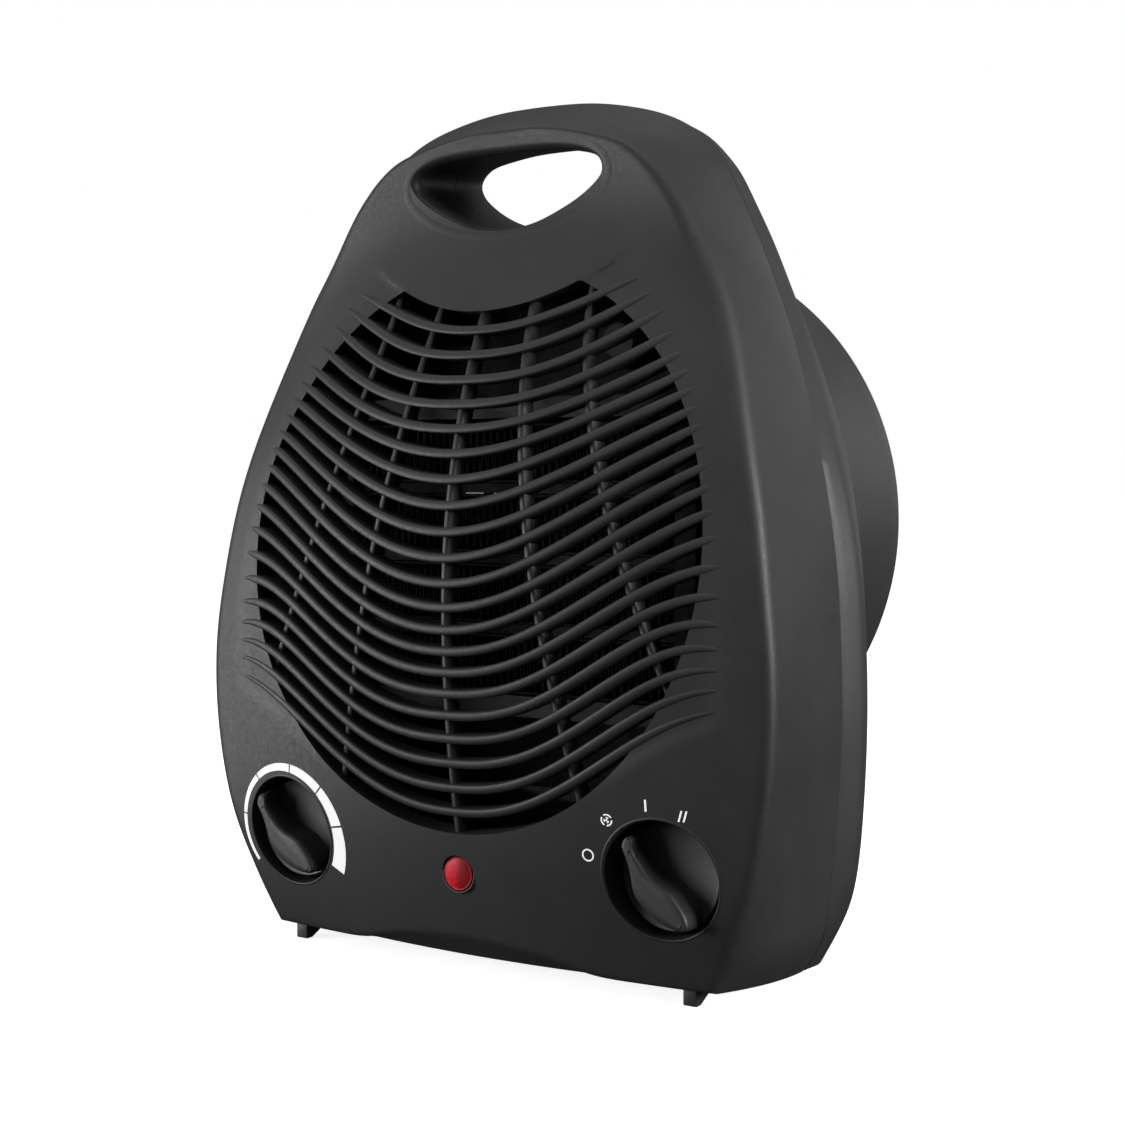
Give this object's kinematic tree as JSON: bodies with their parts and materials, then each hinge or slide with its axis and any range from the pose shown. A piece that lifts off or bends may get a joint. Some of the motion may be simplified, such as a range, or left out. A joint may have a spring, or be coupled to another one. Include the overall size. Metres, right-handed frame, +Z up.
{
  "type": "ceramic fan heater",
  "caption": "Upright portable fan heater: domed front with a wavy moulded outlet grille, round control knobs, a through handle at the top and a round fan drum behind.",
  "frame": {"origin": "bottom centre of the bounding box, on the surface the heater stands on", "axes": "+Z up, the grille and knobs face -Y, +X is to the right seen from the front"},
  "size_m": [0.1984, 0.1205, 0.2499],
  "materials": {
    "black_casing": "fine matt texture",
    "knob_black": "satin",
    "red_lens": "translucent red, smooth",
    "lamp_glass": "clear",
    "zinc_steel": "zinc plated",
    "motor_steel": "oiled laminations",
    "coil_wrap": "taped winding",
    "bronze": "sintered",
    "brass": "turned",
    "fin_aluminium": "rolled strip",
    "ceramic": "fired, unglazed",
    "dark_plastic": "moulded",
    "white_plastic": "moulded",
    "rubber": "moulded"
  },
  "bodies": {
    "casing": {"casing_screw_lower_left": "zinc_steel", "casing_screw_lower_right": "zinc_steel", "casing_screw_middle_left": "zinc_steel", "casing_screw_middle_right": "zinc_steel", "casing_screw_upper_left": "zinc_steel", "casing_screw_upper_right": "zinc_steel", "cord_clamp": "white_plastic", "cord_clamp_screw_left": "zinc_steel", "cord_clamp_screw_right": "zinc_steel", "cord_inlet_bush": "rubber", "duct_plate": "zinc_steel", "duct_screw_lower_left": "zinc_steel", "duct_screw_lower_right": "zinc_steel", "duct_screw_upper_left": "zinc_steel", "duct_screw_upper_right": "zinc_steel", "front_casing": "black_casing", "heater_ceramic_strip_1": "ceramic", "heater_ceramic_strip_2": "ceramic", "heater_ceramic_strip_3": "ceramic", "heater_fin_bank_1": "fin_aluminium", "heater_fin_bank_2": "fin_aluminium", "heater_fin_bank_3": "fin_aluminium", "heater_fin_bank_4": "fin_aluminium", "heater_frame": "dark_plastic", "indicator_lamp": "lamp_glass", "indicator_lens": "red_lens", "motor_bracket_front": "zinc_steel", "motor_bracket_rear": "zinc_steel", "motor_bush_front": "bronze", "motor_bush_rear": "bronze", "motor_coil": "coil_wrap", "motor_lamination_stack": "motor_steel", "motor_screw_left": "zinc_steel", "motor_screw_right": "zinc_steel", "rear_casing": "black_casing", "rotary_switch_body": "dark_plastic", "switch_screw_inner": "zinc_steel", "switch_screw_outer": "zinc_steel", "terminal_block": "white_plastic", "thermal_cutout": "dark_plastic", "thermal_fuse": "zinc_steel", "thermostat_bimetal": "zinc_steel", "thermostat_contact_arm": "brass", "thermostat_frame": "ceramic", "thermostat_nut": "brass"},
    "thermostat_dial": {"thermostat_knob": "knob_black", "thermostat_spindle": "zinc_steel"},
    "selector_dial": {"selector_knob": "knob_black", "selector_spindle": "zinc_steel"},
    "fan_rotor": {"fan_impeller": "dark_plastic", "motor_shaft": "motor_steel", "motor_rotor": "motor_steel", "fan_clip": "zinc_steel"}
  },
  "joints": [
    {"name": "thermostat_turn", "type": "hinge", "parent": "casing", "child": "thermostat_dial", "pos_m": [-0.0631, -0.043, 0.0353], "axis": [0, -1, 0], "range_deg": [-170, 75]},
    {"name": "selector_turn", "type": "hinge", "parent": "casing", "child": "selector_dial", "pos_m": [0.0631, -0.043, 0.0353], "axis": [0, -1, 0], "range_deg": [-67, 33.5]},
    {"name": "fan_spin", "type": "hinge", "parent": "casing", "child": "fan_rotor", "pos_m": [0, 0.017, 0.1273], "axis": [0, 1, 0], "continuous": true}
  ]
}
